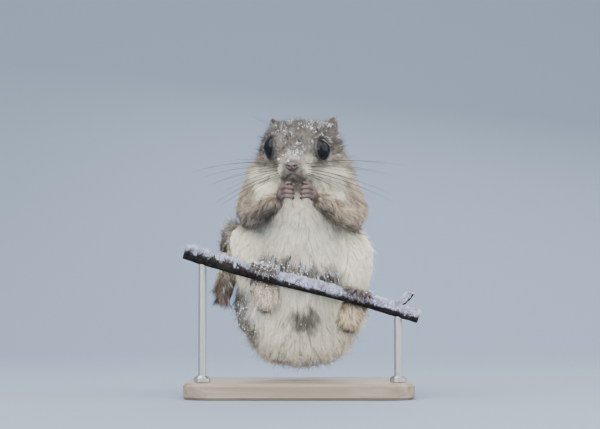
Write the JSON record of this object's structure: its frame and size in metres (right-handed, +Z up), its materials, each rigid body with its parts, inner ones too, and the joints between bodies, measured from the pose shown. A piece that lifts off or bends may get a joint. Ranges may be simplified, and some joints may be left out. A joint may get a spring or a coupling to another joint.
{
  "type": "flying squirrel figure",
  "caption": "Life-size flying squirrel in winter coat, sitting up on a short cut branch with its hands at its mouth, held by a flat base and short rods.",
  "frame": {"origin": "centre of the stand base's underside, on the floor", "axes": "+Z up, the animal faces -Y, +X to the animal's left"},
  "size_m": [0.1036, 0.0832, 0.1238],
  "materials": {
    "fur_upper": "soft",
    "fur_white": "soft",
    "bare_skin": "satin",
    "nose": "damp",
    "eye": "wet gloss",
    "claw": "satin",
    "bark": "rough",
    "stand_wood": "satin",
    "stand_steel": "brushed"
  },
  "bodies": {
    "root": {"head": "fur_upper", "neck": "fur_upper", "torso": "fur_white", "ear_right": "fur_upper", "eye_right": "eye", "ear_left": "fur_upper", "eye_left": "eye", "nose": "nose", "upper_arm_right": "fur_upper", "forearm_right": "fur_upper", "hand_right": "bare_skin", "claw_hand_right_1": "claw", "claw_hand_right_2": "claw", "claw_hand_right_3": "claw", "claw_hand_right_4": "claw", "upper_arm_left": "fur_upper", "forearm_left": "fur_upper", "hand_left": "bare_skin", "claw_hand_left_1": "claw", "claw_hand_left_2": "claw", "claw_hand_left_3": "claw", "claw_hand_left_4": "claw", "membrane_right": "fur_white", "leg_right": "fur_upper", "foot_right": "bare_skin", "claw_foot_right_1": "claw", "claw_foot_right_2": "claw", "claw_foot_right_3": "claw", "claw_foot_right_4": "claw", "claw_foot_right_5": "claw", "membrane_left": "fur_white", "leg_left": "fur_upper", "foot_left": "bare_skin", "claw_foot_left_1": "claw", "claw_foot_left_2": "claw", "claw_foot_left_3": "claw", "claw_foot_left_4": "claw", "claw_foot_left_5": "claw", "tail_base": "fur_upper", "tail_middle": "fur_upper", "tail_tip": "fur_upper", "perch_branch": "bark", "perch_twig": "bark", "stand_base": "stand_wood", "stand_rod_right": "stand_steel", "stand_rod_left": "stand_steel"}
  },
  "joints": []
}
